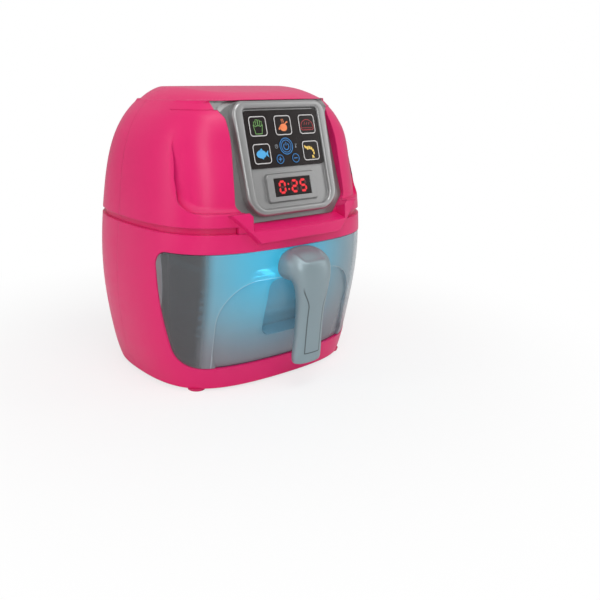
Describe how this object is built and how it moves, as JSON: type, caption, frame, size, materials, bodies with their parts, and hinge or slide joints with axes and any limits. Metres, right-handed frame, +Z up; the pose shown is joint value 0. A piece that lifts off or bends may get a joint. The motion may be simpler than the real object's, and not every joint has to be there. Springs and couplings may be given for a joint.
{
  "type": "toy air fryer",
  "caption": "Barrel-shaped toy air fryer: clear slide-out drawer with a grey handle, slatted rack, tilted keypad console with display, battery bay and loudspeaker grille at the back.",
  "frame": {"origin": "on the surface the feet stand on, under the middle of the body", "axes": "+Z up, -Y towards the front with the drawer and the console, +X to the right seen from the front"},
  "size_m": [0.1904, 0.1903, 0.212],
  "materials": {
    "pink_shell": "moulded pink, satin gloss",
    "silver_trim": "silver paint on plastic, satin",
    "black_panel": "glossy black with printed icons",
    "clear_front": "clear, slightly blue",
    "smoky_tub": "smoky, see-through",
    "rack_plastic": "light grey, glossy",
    "handle_grey": "grey, satin",
    "handle_inlay": "light grey, glossy",
    "liner_plastic": "pale, reflects the light inside",
    "base_plastic": "pink, matte",
    "lens": "clear blue diffuser",
    "lamp": "lit pale blue",
    "board": "green board",
    "chip": "black",
    "display": "dark with red digits",
    "dome_rubber": "pale rubber",
    "screw_steel": "plated",
    "speaker_black": "black cone and basket",
    "bay_plastic": "pale, matte",
    "cell": "unmarked dark sleeve",
    "contact_metal": "plated spring metal"
  },
  "bodies": {
    "housing": {"upper_front_shell": "pink_shell", "upper_rear_shell": "pink_shell", "lower_front_shell": "pink_shell", "lower_rear_shell": "pink_shell", "housing_screws": "screw_steel", "base_plate": "base_plastic", "chamber_liner": "liner_plastic", "light_lens": "lens", "led_lamps": "lamp", "led_board": "board", "speaker": "speaker_black", "battery_box": "bay_plastic", "aa_cells": "cell", "battery_contacts": "contact_metal", "battery_door": "pink_shell", "door_screw": "screw_steel", "console_plate": "silver_trim", "console_bezel": "silver_trim", "icon_panel": "black_panel", "display_window": "display", "key_board": "board", "display_module": "display", "control_chip": "chip", "dome_sheet": "dome_rubber", "board_screws": "screw_steel"},
    "drawer": {"drawer_front": "clear_front", "handle_body": "handle_grey", "handle_cover": "handle_inlay", "handle_screws": "screw_steel", "drawer_tub": "smoky_tub", "crisper_rack": "rack_plastic"},
    "fries_key_body": {"fries_key": "black_panel"},
    "chicken_key_body": {"chicken_key": "black_panel"},
    "bread_key_body": {"bread_key": "black_panel"},
    "fish_key_body": {"fish_key": "black_panel"},
    "shrimp_key_body": {"shrimp_key": "black_panel"},
    "power_key_body": {"power_key": "black_panel"},
    "plus_key_body": {"plus_key": "black_panel"},
    "minus_key_body": {"minus_key": "black_panel"}
  },
  "joints": [
    {"name": "drawer_slide", "type": "slide", "parent": "housing", "child": "drawer", "axis": [0, -1, 0], "range_m": [0, 0.16]},
    {"name": "fries_key_press", "type": "slide", "parent": "housing", "child": "fries_key_body", "axis": [0, 0.9636, -0.2672], "range_m": [0, 0.0008], "stiffness_N_per_m": 600},
    {"name": "chicken_key_press", "type": "slide", "parent": "housing", "child": "chicken_key_body", "axis": [0, 0.9636, -0.2672], "range_m": [0, 0.0008], "stiffness_N_per_m": 600},
    {"name": "bread_key_press", "type": "slide", "parent": "housing", "child": "bread_key_body", "axis": [0, 0.9636, -0.2672], "range_m": [0, 0.0008], "stiffness_N_per_m": 600},
    {"name": "fish_key_press", "type": "slide", "parent": "housing", "child": "fish_key_body", "axis": [0, 0.9636, -0.2672], "range_m": [0, 0.0008], "stiffness_N_per_m": 600},
    {"name": "shrimp_key_press", "type": "slide", "parent": "housing", "child": "shrimp_key_body", "axis": [0, 0.9636, -0.2672], "range_m": [0, 0.0008], "stiffness_N_per_m": 600},
    {"name": "power_key_press", "type": "slide", "parent": "housing", "child": "power_key_body", "axis": [0, 0.9636, -0.2672], "range_m": [0, 0.0008], "stiffness_N_per_m": 600},
    {"name": "plus_key_press", "type": "slide", "parent": "housing", "child": "plus_key_body", "axis": [0, 0.9636, -0.2672], "range_m": [0, 0.0008], "stiffness_N_per_m": 600},
    {"name": "minus_key_press", "type": "slide", "parent": "housing", "child": "minus_key_body", "axis": [0, 0.9636, -0.2672], "range_m": [0, 0.0008], "stiffness_N_per_m": 600}
  ]
}
